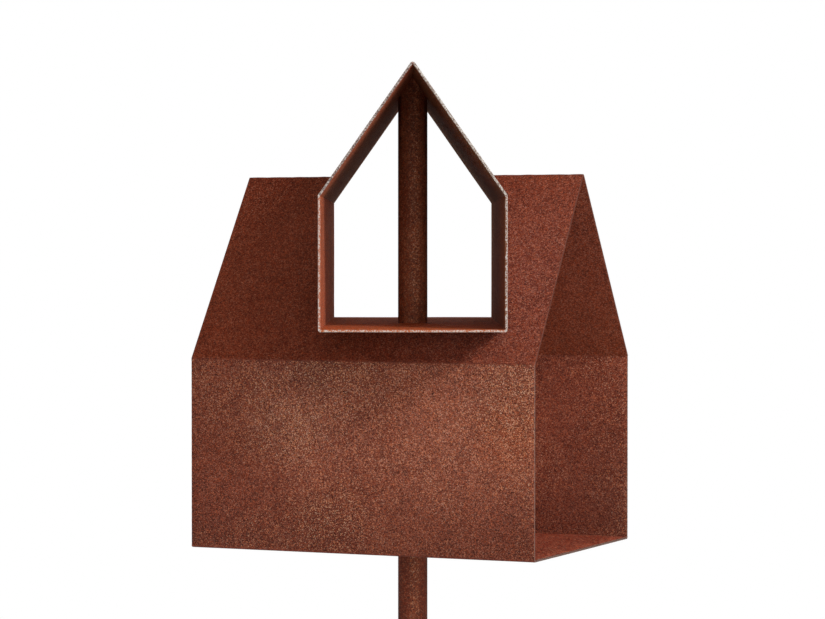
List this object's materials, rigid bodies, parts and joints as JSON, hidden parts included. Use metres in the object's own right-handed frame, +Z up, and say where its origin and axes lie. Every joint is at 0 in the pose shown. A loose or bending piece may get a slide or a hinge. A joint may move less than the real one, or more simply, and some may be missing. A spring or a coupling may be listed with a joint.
{
  "type": "bird feeder on a pole",
  "caption": "Rusty steel bird feeder: an open gable house crossed by a smaller, turned gable house, both carried on a round pole that stands in the ground.",
  "frame": {"origin": "centre of the pole's lower end, at ground level", "axes": "+Z up along the pole, +X along the lower house's ridge, -Y towards its front; the upper house's front end points 24 degrees from -Y towards +X"},
  "size_m": [0.31, 0.444, 1.5975],
  "materials": {
    "rusted_plate": "rolled weathering steel sheet with a dry speckled rust patina",
    "rusted_weld": "dressed weld, rusted a little more orange",
    "rusted_tube": "drawn steel tube with a fine even rust patina"
  },
  "bodies": {
    "root": {"lower_floor": "rusted_plate", "lower_front_wall": "rusted_plate", "lower_back_wall": "rusted_plate", "lower_front_roof": "rusted_plate", "lower_back_roof": "rusted_plate", "upper_floor": "rusted_plate", "upper_left_wall": "rusted_plate", "upper_right_wall": "rusted_plate", "upper_left_roof": "rusted_plate", "upper_right_roof": "rusted_plate", "lower_front_floor_seam": "rusted_weld", "lower_back_floor_seam": "rusted_weld", "lower_front_eave_seam": "rusted_weld", "lower_back_eave_seam": "rusted_weld", "lower_ridge_seam_left": "rusted_weld", "lower_ridge_seam_right": "rusted_weld", "upper_left_floor_seam": "rusted_weld", "upper_right_floor_seam": "rusted_weld", "upper_left_eave_seam": "rusted_weld", "upper_right_eave_seam": "rusted_weld", "upper_ridge_seam": "rusted_weld", "lower_floor_pole_weld": "rusted_weld", "upper_floor_pole_weld": "rusted_weld", "front_roof_stitch_welds": "rusted_weld", "back_roof_stitch_welds": "rusted_weld", "pole": "rusted_tube"}
  },
  "joints": []
}
